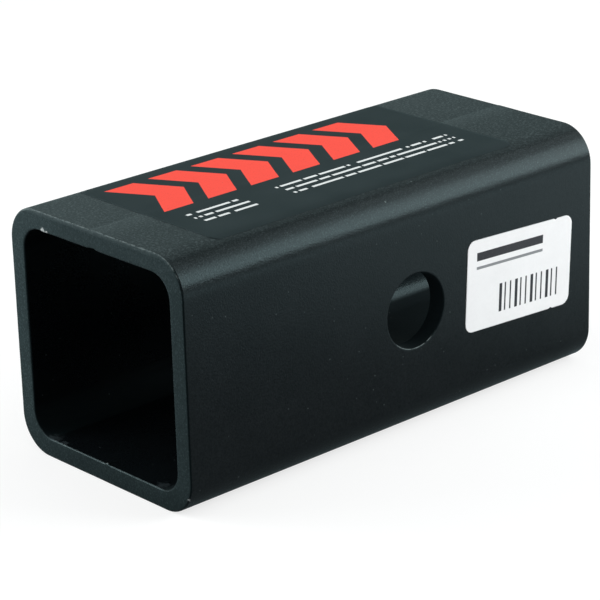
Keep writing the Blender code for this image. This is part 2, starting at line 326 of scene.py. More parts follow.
def dull_share(points):
    """1 where the coat in the socket is a thin dull overspray: in the lower bends, and on the plain side's
    half of the floor near its far end. Each is a product of straight rises along X, Y and Z.
    """
    x, y, z = points.T
    to_far_end = climb(x, *FAR_FLOOR) * (y > 0)
    bends = climb(np.abs(y), *LOWER_BENDS_OUT) * climb(z, *LOWER_BENDS_HEIGHT)
    low_down = climb(z, *FLOOR_HEIGHT)
    return bends + to_far_end * (low_down - bends)


def mesh_piece(name, points, quads, **attributes):
    """A smooth-shaded object at the origin, from (n, 3) points and (m, 4) quads.

    Each attribute has one number or one (x, y, z) for every point, and its material reads it by name.
    """
    mesh = bpy.data.meshes.new(name)
    mesh.from_pydata(points.tolist(), [], quads.tolist())
    mesh.shade_smooth()
    for key, values in attributes.items():
        kind, field = ("FLOAT", "value") if values.ndim == 1 else ("FLOAT_VECTOR", "vector")
        data = mesh.attributes.new(key, kind, "POINT").data
        data.foreach_set(field, values.astype(np.float32).ravel())
    piece = bpy.data.objects.new(name, mesh)
    bpy.context.scene.collection.objects.link(piece)
    return piece


def new_material(name):
    """A new material with its node tree and its Principled shader."""
    made = bpy.data.materials.new(name)
    made.use_nodes = True
    return made, made.node_tree, made.node_tree.nodes["Principled BSDF"]


def node(tree, kind, inputs=None, **settings):
    """Adds one shader node. inputs names sockets and gives each a value or another node's output."""
    made = tree.nodes.new("ShaderNode" + kind)
    for setting, value in settings.items():
        setattr(made, setting, value)
    for socket, value in (inputs or {}).items():
        if isinstance(value, bpy.types.NodeSocket):
            tree.links.new(value, made.inputs[socket])
        else:
            made.inputs[socket].default_value = value
    return made


def maths(tree, operation, *terms):
    """One step of arithmetic on plain numbers or other nodes' outputs."""
    return node(tree, "Math", dict(enumerate(terms)), operation=operation).outputs[0]


def product(tree, *shares):
    """All the shares times each other."""
    result = shares[0]
    for share in shares[1:]:
        result = maths(tree, "MULTIPLY", result, share)
    return result


def total(tree, *shares):
    """All the shares added up."""
    result = shares[0]
    for share in shares[1:]:
        result = maths(tree, "ADD", result, share)
    return result


def noise(tree, place, size, detail=2.0, roughness=0.5):
    """Noise from 0 to 1 whose blotches are about size across."""
    inputs = {"Vector": place, "Scale": 1 / size, "Detail": detail, "Roughness": roughness}
    return node(tree, "TexNoise", inputs).outputs[0]


def ramp(tree, value, low, high, at_low=0.0, at_high=1.0):
    """A straight ramp: at_low up to low, at_high from high on."""
    inputs = {0: value, 1: low, 2: high, 3: at_low, 4: at_high}
    return node(tree, "MapRange", inputs).outputs[0]


def spread(tree, cloud, least, most):
    """least where the noise is low and most where it is high. Noise lies mostly between 0.3 and 0.7."""
    return ramp(tree, cloud, 0.3, 0.7, least, most)


def blended(tree, share, first, second):
    """The first colour where share is 0, the second where it is 1."""
    return node(tree, "Mix", {0: share, 6: first, 7: second}, data_type="RGBA").outputs[2]


def scaled(tree, colour, tone):
    """The colour made darker or lighter: each of its parts times tone."""
    return node(tree, "VectorMath", {0: colour, "Scale": tone}, operation="SCALE").outputs[0]


def attribute(tree, name, output="Fac"):
    """What the mesh carries under that name, point by point."""
    return node(tree, "Attribute", attribute_name=name).outputs[output]


def give_finish(tree, shader, colour, rough, height, depth):
    """Links a surface's colour, its roughness and its fine relief, which is depth deep, to the shader."""
    relief = node(tree, "Bump", {"Height": height, "Distance": depth, "Strength": 1.0})
    tree.links.new(colour, shader.inputs["Base Color"])
    tree.links.new(rough, shader.inputs["Roughness"])
    tree.links.new(relief.outputs[0], shader.inputs["Normal"])


COAT_COLOUR = (0.0082, 0.0092, 0.0100, 1.0)
COAT_WORN_AND_LIT = (0.115, 0.135, 0.135, 1.0)
BARE_STEEL_GLINT = (0.46, 0.48, 0.48, 1.0)
ROUGH_LIT_COLOUR = (0.021, 0.027, 0.030, 1.0)
CUT_FACE_COLOUR = (0.0182, 0.0272, 0.0287)
CUT_FACE_ACROSS = (5 * MM, 31 * MM)
CUT_FACE_TONE = (0.96, 1.25)
CUT_FACE_LOW_DOWN = (2 * MM, 8 * MM)
CUT_FACE_TONE_LOW_DOWN = 0.72
INSIDE_SHADE_COLOUR = (0.0026, 0.0036, 0.0044, 1.0)
EDGE_SHADE_COLOUR = (0.0010, 0.0016, 0.0020, 1.0)
COAT_GRAIN = 0.46 * MM
COAT_FLECK = 0.42 * MM
COAT_PEEL = 2.0 * MM
COAT_MOTTLE = 14.0 * MM
SCUFF_SIZE = 1.1 * MM
FLECK_TONE = (0.78, 1.28)
MOTTLE_TONE = (0.90, 1.10)
GRAIN_HEIGHT = 0.07 * MM
PEEL_SHARE = 0.2
RUBBED_AND_LIT_WEIGHT = 0.55
WORN_AND_LIT_RANGE = (0.98, 1.08)
MARK_WEIGHT = 0.55
MARK_RANGE = (0.78, 0.92)
SPECK_SPACING = 3.5 * MM
SPECK_REACH = (0.030, 0.070)
SPECK_SHARE = 0.35

# Dust and a painted sheen lie as a film with patches on the top wall, most on the plain side. Beside the
# shaved weld a painted highlight is added, and on the upper part of the bends single grits stand in partly
# for glints.
DUST_AND_SHEEN_COLOUR = (0.072, 0.090, 0.093, 1.0)
DUST_AND_SHEEN_HEIGHT = (62.2 * MM, 63.4 * MM)
DUST_AND_SHEEN_ACROSS = (-20 * MM, 20 * MM)
DUST_AND_SHEEN_FILM = (0.11, 0.25)
DUST_SIZE = 0.6 * MM
DUST_RANGE = (0.50, 0.67)
DUST_PATCHES = 0.50
WELD_HIGHLIGHT = 0.19
WELD_HIGHLIGHT_WIDTH = 8 * MM
WELD_HIGHLIGHT_END = 0.2 * MM
GRIT_AND_GLINT_SIZE = 0.38 * MM
GRIT_AND_GLINT_RANGE = (0.52, 0.70)
GRIT_AND_GLINT_HEIGHT = (53.5 * MM, 58 * MM)
GRIT_AND_GLINT_SHARE = 0.24

# How matt the smooth coat is, and what each state of it adds.
COAT_ROUGHNESS = (0.135, 0.17)
CUT_FACE_MATT = 0.08
DULL_MATT = 0.55
INSIDE_MATT = 0.12
DUST_MATT = 0.40
PIT_RANGE = (0.46, 0.66)
PIT_MATT = 0.06
COAT_SHEEN = 0.125
COAT_SHEEN_TINT = (0.62, 0.94, 1.0, 1.0)

# Nicks down to the steel, painted as bright glints, scuffs, and rough patches of coat by the lower bends
# inside, painted lighter where those corners catch the light: place and reach, in millimetres.
NICK_GLINTS = (
    ((-68.2, 18.9, 59.0), 1.5),
    ((-68.2, 17.6, 58.8), 0.9),
    ((-68.2, -30.9, 4.9), 1.3),
)
SCUFFS = (
    ((-68.2, -0.6, 5.3), 1.1),
    ((59.6, 7.0, 63.5), 0.7),
    ((8.9, -26.4, 62.6), 0.5),
    ((-2.4, -29.0, 60.8), 0.5),
)
ROUGH_LIT_PATCHES = (
    ((-66.9, 20.6, 5.3), 3.6),
    ((-67.2, 16.8, 4.95), 2.6),
    ((-66.9, -19.2, 5.1), 3.8),
)


def marked(tree, place, scuff, marks):
    """1 at the small marks, with ragged edges: the scuff noise plus a cone round the nearest mark."""
    share = 0.0
    for (x, y, z), reach in marks:
        away = node(tree, "VectorMath", {0: place, 1: (x * MM, y * MM, z * MM)}, operation="DISTANCE")
        here = ramp(tree, away.outputs["Value"], 0.0, reach * MM, MARK_WEIGHT, 0.0)
        share = maths(tree, "MAXIMUM", share, here)
    return ramp(tree, maths(tree, "ADD", share, scuff), *MARK_RANGE)


def on_top(tree, place):
    """1 on the flat of the top wall, where dust and the painted sheen lie, and 0 once the bends turn down."""
    return ramp(tree, node(tree, "SeparateXYZ", {0: place}).outputs[2], *DUST_AND_SHEEN_HEIGHT)


def powder_coat():
    """Black powder coat: a fine pebbled film, greyer on the cut faces, thin and scuffed on the edges."""
    made, tree, shader = new_material("black powder coat")
    place = node(tree, "TexCoord").outputs["Object"]
    y, z = node(tree, "SeparateXYZ", {0: place}).outputs[1:]
    grain = noise(tree, place, COAT_GRAIN, detail=3.0, roughness=0.6)
    fleck = noise(tree, place, COAT_FLECK, detail=1.0)
    peel = noise(tree, place, COAT_PEEL, detail=1.0)
    mottle = noise(tree, place, COAT_MOTTLE, detail=4.0)
    scuff = noise(tree, place, SCUFF_SIZE, detail=4.0, roughness=0.7)
    pits = noise(tree, place, COAT_FLECK, detail=2.0, roughness=0.6)
    cut = attribute(tree, "cut_face")
    inside = attribute(tree, "inside")

    # Painted light on the cut faces: they are made lighter towards +Y, where the lamp at the left falls on
    # them. They are also made darker towards the bottom.
    painted_cut_face_tone = product(
        tree,
        ramp(tree, y, *CUT_FACE_ACROSS, *CUT_FACE_TONE),
        ramp(tree, z, *CUT_FACE_LOW_DOWN, CUT_FACE_TONE_LOW_DOWN, 1.0),
    )
    colour = blended(tree, cut, COAT_COLOUR, scaled(tree, CUT_FACE_COLOUR, painted_cut_face_tone))
    # Painted shade: inside the tube and in the bores the coat is made near black.
    colour = blended(tree, inside, colour, INSIDE_SHADE_COLOUR)
    # Painted shade: a near-black line along the upright outer edges of the ends.
    colour = blended(tree, attribute(tree, "thick"), colour, EDGE_SHADE_COLOUR)
    tone = product(tree, spread(tree, fleck, *FLECK_TONE), spread(tree, mottle, *MOTTLE_TONE))
    colour = scaled(tree, colour, tone)

    # Worn coat on the edges, with painted highlights on the up-facing edges and on the holes' lower rims.
    rubbed = maths(tree, "MULTIPLY_ADD", attribute(tree, "rubbed"), RUBBED_AND_LIT_WEIGHT, scuff)
    worn_and_lit = ramp(tree, rubbed, *WORN_AND_LIT_RANGE)
    spots = node(tree, "TexVoronoi", {"Vector": place, "Scale": 1 / SPECK_SPACING, "Randomness": 1.0})
    speck = ramp(tree, spots.outputs["Distance"], *SPECK_REACH, SPECK_SHARE, 0.0)
    scuffed_and_lit = maths(tree, "MAXIMUM", maths(tree, "MAXIMUM", worn_and_lit, speck), marked(tree, place, scuff, SCUFFS))
    # Rough coat patches in the inner bottom corners, painted lighter where those corners catch the light.
    colour = blended(tree, marked(tree, place, scuff, ROUGH_LIT_PATCHES), colour, ROUGH_LIT_COLOUR)
    colour = blended(tree, scuffed_and_lit, colour, COAT_WORN_AND_LIT)
    # Painted glints: the nicks are given a bright steel colour.
    colour = blended(tree, marked(tree, place, scuff, NICK_GLINTS), colour, BARE_STEEL_GLINT)

    top = on_top(tree, place)
    dust_and_sheen_film = ramp(tree, y, *DUST_AND_SHEEN_ACROSS, *DUST_AND_SHEEN_FILM)
    patches = noise(tree, place, DUST_SIZE, detail=2.0, roughness=0.6)
    patches = ramp(tree, patches, *DUST_RANGE, 0.0, DUST_PATCHES)
    # Painted highlight: the top is made lighter on the -Y side just beside the weld step.
    weld_highlight = product(
        tree,
        ramp(tree, y, WELD_Y - WELD_HIGHLIGHT_WIDTH, WELD_Y, 0.0, WELD_HIGHLIGHT),
        ramp(tree, y, WELD_Y, WELD_Y + WELD_HIGHLIGHT_END, 1.0, 0.0),
    )
    # Grits on the upper part of the bends, partly painted glints in the bend's bands of light.
    grit_and_glints = product(
        tree,
        ramp(tree, noise(tree, place, GRIT_AND_GLINT_SIZE, detail=1.0), *GRIT_AND_GLINT_RANGE),
        ramp(tree, z, *GRIT_AND_GLINT_HEIGHT, 0.0, GRIT_AND_GLINT_SHARE),
    )
    # Dust with a painted sheen on the top wall, and grits with painted glints on the bends.
    dust_and_sheen = total(tree, product(tree, total(tree, dust_and_sheen_film, patches, weld_highlight), top), grit_and_glints)
    colour = blended(tree, dust_and_sheen, colour, DUST_AND_SHEEN_COLOUR)

    rough = total(
        tree,
        spread(tree, mottle, *COAT_ROUGHNESS),
        product(tree, cut, CUT_FACE_MATT),
        product(tree, attribute(tree, "dull"), DULL_MATT),
        product(tree, inside, INSIDE_MATT),
        product(tree, top, DUST_MATT),
        ramp(tree, pits, *PIT_RANGE, 0.0, PIT_MATT),
    )
    height = total(tree, product(tree, peel, PEEL_SHARE), grain)
    give_finish(tree, shader, colour, rough, height, GRAIN_HEIGHT)
    shader.inputs["Specular IOR Level"].default_value = COAT_SHEEN
    shader.inputs["Specular Tint"].default_value = COAT_SHEEN_TINT
    return made


skin_points, skin_quads, skin_depth = tube_surface()
from_end = HALF_LENGTH - np.abs(skin_points[:, 0])
from_bore = np.hypot(skin_points[:, 0] - PIN_HOLE_X, skin_points[:, 2] - AXIS_HEIGHT) - PIN_HOLE_RADIUS
from_bore = np.where(np.abs(skin_points[:, 1]) > HALF_WIDTH - WALL - EDGE_ROUND, from_bore, 1.0)
# Where the colour is painted shade: the inner skin and the bores.
inner_skin = climb(skin_depth, *INNER_SKIN)
in_bore = climb(from_bore, *BORE_SKIN)
sleeve = mesh_piece(
    "square_tube",
    worked_metal(skin_points, skin_depth),
    skin_quads,
    rubbed=rubbed_share(skin_points, skin_depth),
    cut_face=climb(from_end, CUT_FACE_RUN, 0),
    inside=np.maximum(inner_skin, in_bore),
    thick=thick_share(skin_points, skin_depth),
    dull=np.maximum(inner_skin * dull_share(skin_points), in_bore),
)
sleeve.data.materials.append(powder_coat())
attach(sleeve, "root")
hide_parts("sleeve_tube")

# The top decal: thin black vinyl with two printed inks, laid on the top wall by hand and pressed down
# over the start of both bends. The print is a row of coral chevrons and two blocks of plain white lines.
CORNER_STEPS = 6
RIM_WIDTH = 0.12 * MM
DECAL_MARGIN_NEAR = 15.2 * MM
DECAL_MARGIN_FAR = 22.1 * MM
DECAL_LAP = 2.95 * MM
DECAL_CORNER = 2.4 * MM
DECAL_STANDS = 0.05 * MM
DECAL_THICKNESS = 0.02 * MM
DECAL_HALF_LENGTH = HALF_LENGTH - (DECAL_MARGIN_NEAR + DECAL_MARGIN_FAR) / 2
DECAL_HALF_WIDTH = FLAT_HALF_WIDTH + DECAL_LAP
DECAL_X = (DECAL_MARGIN_NEAR - DECAL_MARGIN_FAR) / 2
DECAL_TOP = tube_high.z
DECAL_ROWS = 40
DECAL_COLUMNS = 120

# The print, in millimetres on the flat sheet.
INK_EDGE = 0.06
CHEVRON_STROKE = 9.0
CHEVRON_SWEEP = 6.5
CHEVRON_PITCH = 13.6
CHEVRON_COUNT = 6
CHEVRON_START = -45.1
CHEVRON_MIDDLE = 8.8
CHEVRON_HALF_HEIGHT = 11.25
LINE_HEIGHT = 1.0
LINE_PITCH = 2.9
LINE_COUNT = 3
LINES_BOTTOM = -14.45
LINE_FOOT = 0.02
SHORT_LINES = (-43.1, -26.1)
LONG_LINES = (-15.1, 43.1)
LETTER_PITCH = 0.85
BARE_LETTERS = 0.22
NICK_U = -48.1
NICK_V = 24.4
NICK_REACH = (0.5, 1.2)
NICK_SHARE = 0.5


def rounded_sheet(half_length, half_width, corner, rows, columns):
    """A flat sheet with round corners as a grid of (u, v).

    v runs across in rows that crowd into the corners. Along a row u is even as far as twice the corner's
    radius from the end, and from there on the stops draw in evenly to the corner's quarter circle.
    """
    lean = np.linspace(0, math.pi / 2, CORNER_STEPS + 1)
    flat_v = half_width - corner
    into_corner = flat_v + corner * np.sin(lean)
    v = np.concatenate([-into_corner[::-1], np.linspace(-1, 1, rows)[1:-1] * flat_v, into_corner])
    reach = np.maximum(0, np.abs(v) - flat_v)
    ends = half_length - corner + np.sqrt(np.maximum(0, corner**2 - reach**2))
    s = np.linspace(-half_length, half_length, columns)
    straight = half_length - 2 * corner
    past = np.maximum(0, np.abs(s) - straight) * (ends[:, None] - straight) / (2 * corner)
    u = np.sign(s) * (np.minimum(np.abs(s), straight) + past)
    return u, np.broadcast_to(v[:, None], u.shape)


def over_bends(v, stands):
    """Where a sheet that is v from the middle of the wall lies once pressed down: (y, height over the wall).

    On the flat y is v. Past it the sheet follows the bend's arc, whose radius is the bend's own plus what
    the sheet stands off.
    """
    turn = np.maximum(0, np.abs(v) - FLAT_HALF_WIDTH) / OUTER_BEND
    radius = OUTER_BEND + stands
    y = np.sign(v) * (np.minimum(np.abs(v), FLAT_HALF_WIDTH) + radius * np.sin(turn))
    return y, radius * np.cos(turn) - OUTER_BEND


def sheet_piece(name, points, u, v, half_length, half_width, thickness):
    """A stuck-on sheet: the face that is seen, from the points of its grid, with its thickness behind it.

    It carries where each point lies on the flat sheet, in millimetres, and how near the cut rim is: 1 on
    the rim and 0 from the rim's width on.
    """
    from_rim = np.minimum(half_length - np.abs(u), half_width - np.abs(v))
    piece = mesh_piece(
        name,
        points.reshape(-1, 3),
        grid_quads(np.arange(u.size).reshape(u.shape), False, False).reshape(-1, 4),
        flat_mm=np.stack([u, v, 0 * u], axis=-1).reshape(-1, 3) / MM,
        rim=climb(from_rim, RIM_WIDTH, 0).ravel(),
    )
    wall = piece.modifiers.new("thickness", "SOLIDIFY")
    wall.thickness = thickness
    wall.offset = -1.0
    return piece


def within(tree, value, low, high, soft=INK_EDGE):
    """1 where value lies between low and high, with edges as soft as ink on vinyl."""
    middle, half = (low + high) / 2, (high - low) / 2
    away = maths(tree, "ABSOLUTE", maths(tree, "SUBTRACT", value, middle))
    return ramp(tree, away, half - soft / 2, half + soft / 2, 1.0, 0.0)


VINYL_COLOUR = (0.0040, 0.0075, 0.0090, 1.0)
VINYL_RIM_LIGHT = (0.022, 0.031, 0.033, 1.0)
CORAL_INK = (0.90, 0.082, 0.058, 1.0)
WHITE_INK = (0.72, 0.74, 0.74, 1.0)
VINYL_PEBBLE = 0.9 * MM
PEBBLE_HEIGHT = 0.006 * MM
VINYL_MOTTLE = 11.0 * MM
VINYL_DUST_AND_SHEEN = (0.14, 0.24)
VINYL_ROUGHNESS = (0.22, 0.27)
INK_PATCH = 0.35 * MM
INK_THIN_RANGE = (0.25, 0.40)
INK_THIN = 0.82
VINYL_SHEEN = 0.10
VINYL_SHEEN_TINT = (0.72, 0.95, 1.0, 1.0)


def chevron_share(tree, u, v):
    """1 inside a chevron. Each row of the sheet is slid back by the sweep times its distance from the tips,
    and along it the strokes repeat at the pitch.
    """
    from_middle = maths(tree, "ABSOLUTE", maths(tree, "SUBTRACT", v, CHEVRON_MIDDLE))
    from_tip = maths(tree, "DIVIDE", from_middle, CHEVRON_HALF_HEIGHT)
    from_start = maths(tree, "SUBTRACT", u, CHEVRON_START + CHEVRON_SWEEP)
    slid = maths(tree, "MULTIPLY_ADD", from_tip, CHEVRON_SWEEP, from_start)
    along = maths(tree, "FLOORED_MODULO", slid, CHEVRON_PITCH)
    row_end = CHEVRON_PITCH * (CHEVRON_COUNT - 1) + CHEVRON_STROKE + INK_EDGE
    return product(
        tree,
        within(tree, along, INK_EDGE / 2, CHEVRON_STROKE),
        within(tree, slid, 0.0, row_end),
        within(tree, from_tip, -1.0, 1.0, soft=INK_EDGE / CHEVRON_HALF_HEIGHT),
    )


def word_share(tree, u, v):
    """1 inside lines of plain dashes as long as words: along each line, letter-wide cells picked by white
    noise are left bare.
    """
    line = maths(tree, "DIVIDE", maths(tree, "SUBTRACT", v, LINES_BOTTOM), LINE_PITCH)
    row = maths(tree, "FLOOR", line)
    up = maths(tree, "MULTIPLY", maths(tree, "SUBTRACT", line, row), LINE_PITCH)
    cell = maths(tree, "FLOOR", maths(tree, "DIVIDE", u, LETTER_PITCH))
    spot = node(tree, "CombineXYZ", {0: cell, 1: row}).outputs[0]
    pick = node(tree, "TexWhiteNoise", {"Vector": spot}, noise_dimensions="2D").outputs[0]
    return product(
        tree,
        maths(tree, "GREATER_THAN", pick, BARE_LETTERS),
        within(tree, up, LINE_FOOT, LINE_HEIGHT),
        within(tree, line, 0.0, LINE_COUNT - 0.01, soft=0.01),
    )


def printed_vinyl():
    """Smooth black vinyl that shows the coat's pebbling faintly, with coral and white inks."""
    made, tree, shader = new_material("printed black vinyl")
    place = node(tree, "TexCoord").outputs["Object"]
    u, v = node(tree, "SeparateXYZ", {0: attribute(tree, "flat_mm", "Vector")}).outputs[:2]
    pebble = noise(tree, place, VINYL_PEBBLE, detail=2.0)
    mottle = noise(tree, place, VINYL_MOTTLE, detail=4.0)
    patchy = ramp(tree, noise(tree, place, INK_PATCH, detail=2.0), *INK_THIN_RANGE, INK_THIN, 1.0)
    top = on_top(tree, place)
    # Dust with a painted sheen on the top of the decal.
    dust_and_sheen_film = product(tree, spread(tree, mottle, *VINYL_DUST_AND_SHEEN), top)
    colour = blended(tree, dust_and_sheen_film, VINYL_COLOUR, DUST_AND_SHEEN_COLOUR)
    colour = blended(tree, product(tree, chevron_share(tree, u, v), patchy), colour, CORAL_INK)
    blocks = maths(tree, "MAXIMUM", within(tree, u, *SHORT_LINES), within(tree, u, *LONG_LINES))
    colour = blended(tree, product(tree, blocks, word_share(tree, u, v), patchy), colour, WHITE_INK)
    nick_u = maths(tree, "ABSOLUTE", maths(tree, "SUBTRACT", u, NICK_U))
    nick_v = maths(tree, "ABSOLUTE", maths(tree, "SUBTRACT", v, NICK_V))
    nick = ramp(tree, total(tree, nick_u, nick_v), *NICK_REACH, NICK_SHARE, 0.0)
    colour = blended(tree, nick, colour, COAT_WORN_AND_LIT)
    # Painted light on the decal's cut rim, lifting the shade along its edge.
    colour = blended(tree, attribute(tree, "rim"), colour, VINYL_RIM_LIGHT)
    rough = total(tree, spread(tree, mottle, *VINYL_ROUGHNESS), product(tree, top, DUST_MATT))
    give_finish(tree, shader, colour, rough, pebble, PEBBLE_HEIGHT)
    shader.inputs["Specular IOR Level"].default_value = VINYL_SHEEN
    shader.inputs["Specular Tint"].default_value = VINYL_SHEEN_TINT
    return made


decal_u, decal_v = rounded_sheet(DECAL_HALF_LENGTH, DECAL_HALF_WIDTH, DECAL_CORNER, DECAL_ROWS, DECAL_COLUMNS)
decal_y, decal_rise = over_bends(decal_v, DECAL_STANDS)
decal_points = np.stack([DECAL_X + decal_u, decal_y, DECAL_TOP + decal_rise], axis=-1).reshape(-1, 3)
decal = sheet_piece(
    "vinyl_decal",
    worked_metal(decal_points, np.zeros(len(decal_points))),
    decal_u,
    decal_v,
    DECAL_HALF_LENGTH,
    DECAL_HALF_WIDTH,
    DECAL_THICKNESS,
)
decal.data.materials.append(printed_vinyl())
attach(decal, "root")
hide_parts("top_decal")

# The side label: coated white paper with a self-adhesive back, machine printed with plain bars and rules.
# It was stuck on by hand between the pin hole and the far end, about three degrees out of level.
LABEL_HALF_WIDTH = 38.1 * MM / 2
LABEL_HALF_HEIGHT = 23.9 * MM / 2
LABEL_CORNER = 2.6 * MM
LABEL_TILT = math.radians(-3.0)
LABEL_STANDS = 0.13 * MM
LABEL_THICKNESS = 0.11 * MM
LABEL_X = (PIN_HOLE_X + PIN_HOLE_RADIUS + HALF_LENGTH) / 2
LABEL_ROWS = 50
LABEL_COLUMNS = 160
EDGE_NICK_DEPTH = 0.35 * MM
EDGE_NICK_WIDTH = 0.45 * MM
TOP_NICK_U = 12.9 * MM
BOTTOM_NICK_U = 12.2 * MM

# The print, in millimetres on the flat label.
BAR_START = -7.15
BAR_PITCH = 1.9
BAR_THIN = 0.5
BAR_THICK = 1.0
BAR_COUNT = 12
BAR_SPAN = (-8.55, -1.15)
HEAVY_RULE = (6.35, 8.55)
LIGHT_RULE = (4.15, 4.88)
RULE_SPAN = (-15.65, 8.35)

PAPER_COLOUR = (0.94, 0.93, 0.94)
PAPER_EDGE = (0.55, 0.56, 0.57, 1.0)
BLACK_INK = (0.030, 0.030, 0.035, 1.0)
GREY_INK = (0.25, 0.26, 0.27, 1.0)
PAPER_FIBRE = 0.7 * MM
FIBRE_HEIGHT = 0.008 * MM
PAPER_CLOUD = 6.0 * MM
PAPER_TONE_RANGE = (0.6, 1.4)
PAPER_TONE = (0.965, 1.03)
PAPER_ROUGHNESS = (0.50, 0.62)
PRINT_PATCH = 0.3 * MM
PRINT_THIN_RANGE = (0.20, 0.35)
PRINT_THIN = 0.85
PAPER_SHEEN = 0.2


def label_paper():
    """Coated paper with a faint fibre cloud and thermal print that is a little uneven."""
    made, tree, shader = new_material("printed white paper")
    place = node(tree, "TexCoord").outputs["Object"]
    u, v = node(tree, "SeparateXYZ", {0: attribute(tree, "flat_mm", "Vector")}).outputs[:2]
    fibre = noise(tree, place, PAPER_FIBRE, detail=5.0, roughness=0.7)
    cloud = noise(tree, place, PAPER_CLOUD, detail=3.0)
    patchy = ramp(tree, noise(tree, place, PRINT_PATCH, detail=2.0), *PRINT_THIN_RANGE, PRINT_THIN, 1.0)

    from_start = maths(tree, "SUBTRACT", u, BAR_START)
    bar = maths(tree, "FLOOR", maths(tree, "DIVIDE", from_start, BAR_PITCH))
    along = maths(tree, "FLOORED_MODULO", from_start, BAR_PITCH)
    every_third = maths(tree, "LESS_THAN", maths(tree, "FLOORED_MODULO", bar, 3.0), 0.5)
    bar_width = ramp(tree, every_third, 0.0, 1.0, BAR_THIN, BAR_THICK)
    bars = product(
        tree,
        ramp(tree, maths(tree, "SUBTRACT", along, bar_width), -INK_EDGE / 2, INK_EDGE / 2, 1.0, 0.0),
        within(tree, bar, -0.5, BAR_COUNT - 0.5, soft=0.01),
        within(tree, v, *BAR_SPAN),
    )
    across = within(tree, u, *RULE_SPAN)
    heavy = product(tree, across, within(tree, v, *HEAVY_RULE))
    light = product(tree, across, within(tree, v, *LIGHT_RULE))

    tone = ramp(tree, total(tree, cloud, fibre), *PAPER_TONE_RANGE, *PAPER_TONE)
    colour = scaled(tree, PAPER_COLOUR, tone)
    colour = blended(tree, attribute(tree, "rim"), colour, PAPER_EDGE)
    colour = blended(tree, product(tree, maths(tree, "MAXIMUM", bars, heavy), patchy), colour, BLACK_INK)
    colour = blended(tree, product(tree, light, patchy), colour, GREY_INK)
    give_finish(tree, shader, colour, spread(tree, cloud, *PAPER_ROUGHNESS), fibre, FIBRE_HEIGHT)
    shader.inputs["Specular IOR Level"].default_value = PAPER_SHEEN
    return made


def nicked(u, v):
    """Draws the label's top and bottom edges in at two small nicks, each a bell curve along the edge that
    dies out straight over the outermost twelfth of the half height.
    """
    top = EDGE_NICK_DEPTH * np.exp(-(((u - TOP_NICK_U) / EDGE_NICK_WIDTH) ** 2))
    bottom = EDGE_NICK_DEPTH * np.exp(-(((u - BOTTOM_NICK_U) / EDGE_NICK_WIDTH) ** 2))
    near_edge = climb(np.abs(v), LABEL_HALF_HEIGHT * 11 / 12, LABEL_HALF_HEIGHT)
    return v - near_edge * np.where(v > 0, top, -bottom)


label_u, label_v = rounded_sheet(LABEL_HALF_WIDTH, LABEL_HALF_HEIGHT, LABEL_CORNER, LABEL_ROWS, LABEL_COLUMNS)
label_v = nicked(label_u, label_v)
label_points = np.stack(
    [
        LABEL_X + label_u * math.cos(LABEL_TILT) - label_v * math.sin(LABEL_TILT),
        np.full(label_u.shape, -HALF_WIDTH - LABEL_STANDS),
        AXIS_HEIGHT + label_u * math.sin(LABEL_TILT) + label_v * math.cos(LABEL_TILT),
    ],
    axis=-1,
)
label = sheet_piece(
    "paper_label", label_points, label_u, label_v, LABEL_HALF_WIDTH, LABEL_HALF_HEIGHT, LABEL_THICKNESS
)
label.data.materials.append(label_paper())
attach(label, "root")
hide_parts("side_label")

# The studio: a wide pale floor, a white surround and soft boxes. The large one at the front right lights
# the label side and gives the bend its bright band; the others fill the open end and the top. A sheen
# mirrors the floor and the surround a little cool, and dimmer than the white that is seen behind the sleeve.
FLOOR_REACH = 6.0
FLOOR_COLOUR = (0.30, 0.30, 0.30, 1.0)
FLOOR_MIRRORED = (0.235, 0.295, 0.31, 1.0)
FLOOR_GLOW = 0.72
POOL_WAY = (0.66, -0.75, 0.0)
POOL_START = 0.07
POOL_END = 0.20
POOL_GLOW = 1.4
POOL_COLOUR = (0.88, 1.0, 1.02, 1.0)
WHITE = (1.0, 1.0, 1.0, 1.0)
SURROUND_FILL = 0.38
MIRRORED_COLOUR = (0.72, 1.0, 0.99, 1.0)
MIRRORED_TURN = (-0.70, 0.71, 1.20)
MIRRORED_RUN = (0.10, 0.90)
MIRRORED_RIGHT = 0.14
MIRRORED_LEFT = 0.96
LAMP_COLOUR = (0.955, 1.0, 1.0)


def light_path(tree):
    """Two shares: 1 for what is seen straight or through glass, and 1 for what is seen in a sheen."""
    path = node(tree, "LightPath").outputs
    return maths(tree, "MAXIMUM", path["Is Camera Ray"], path["Is Transmission Ray"]), path["Is Glossy Ray"]


floor_corners = np.array([(-1, -1, 0), (1, -1, 0), (1, 1, 0), (-1, 1, 0)]) * FLOOR_REACH
floor = mesh_piece("studio_floor", floor_corners, np.array([[0, 1, 2, 3]]))
floor_material, floor_tree, floor_shader = new_material("pale floor")
floor_shader.inputs["Roughness"].default_value = 1.0
floor_shader.inputs["Specular IOR Level"].default_value = 0.0
seen, in_sheen = light_path(floor_tree)
floor_colour = blended(floor_tree, in_sheen, FLOOR_COLOUR, FLOOR_MIRRORED)
floor_tree.links.new(floor_colour, floor_shader.inputs["Base Color"])
glow_colour = blended(floor_tree, in_sheen, WHITE, POOL_COLOUR)
floor_tree.links.new(glow_colour, floor_shader.inputs["Emission Color"])
floor_place = node(floor_tree, "TexCoord").outputs["Object"]
# A painted pool of light on the floor at the front right, seen only in reflections.
pool = node(floor_tree, "VectorMath", {0: floor_place, 1: POOL_WAY}, operation="DOT_PRODUCT").outputs["Value"]
pool = maths(floor_tree, "MULTIPLY", ramp(floor_tree, pool, POOL_START, POOL_END, 0.0, POOL_GLOW), in_sheen)
floor_glow = maths(floor_tree, "MULTIPLY_ADD", seen, FLOOR_GLOW, pool)
floor_tree.links.new(floor_glow, floor_shader.inputs["Emission Strength"])
floor.data.materials.append(floor_material)

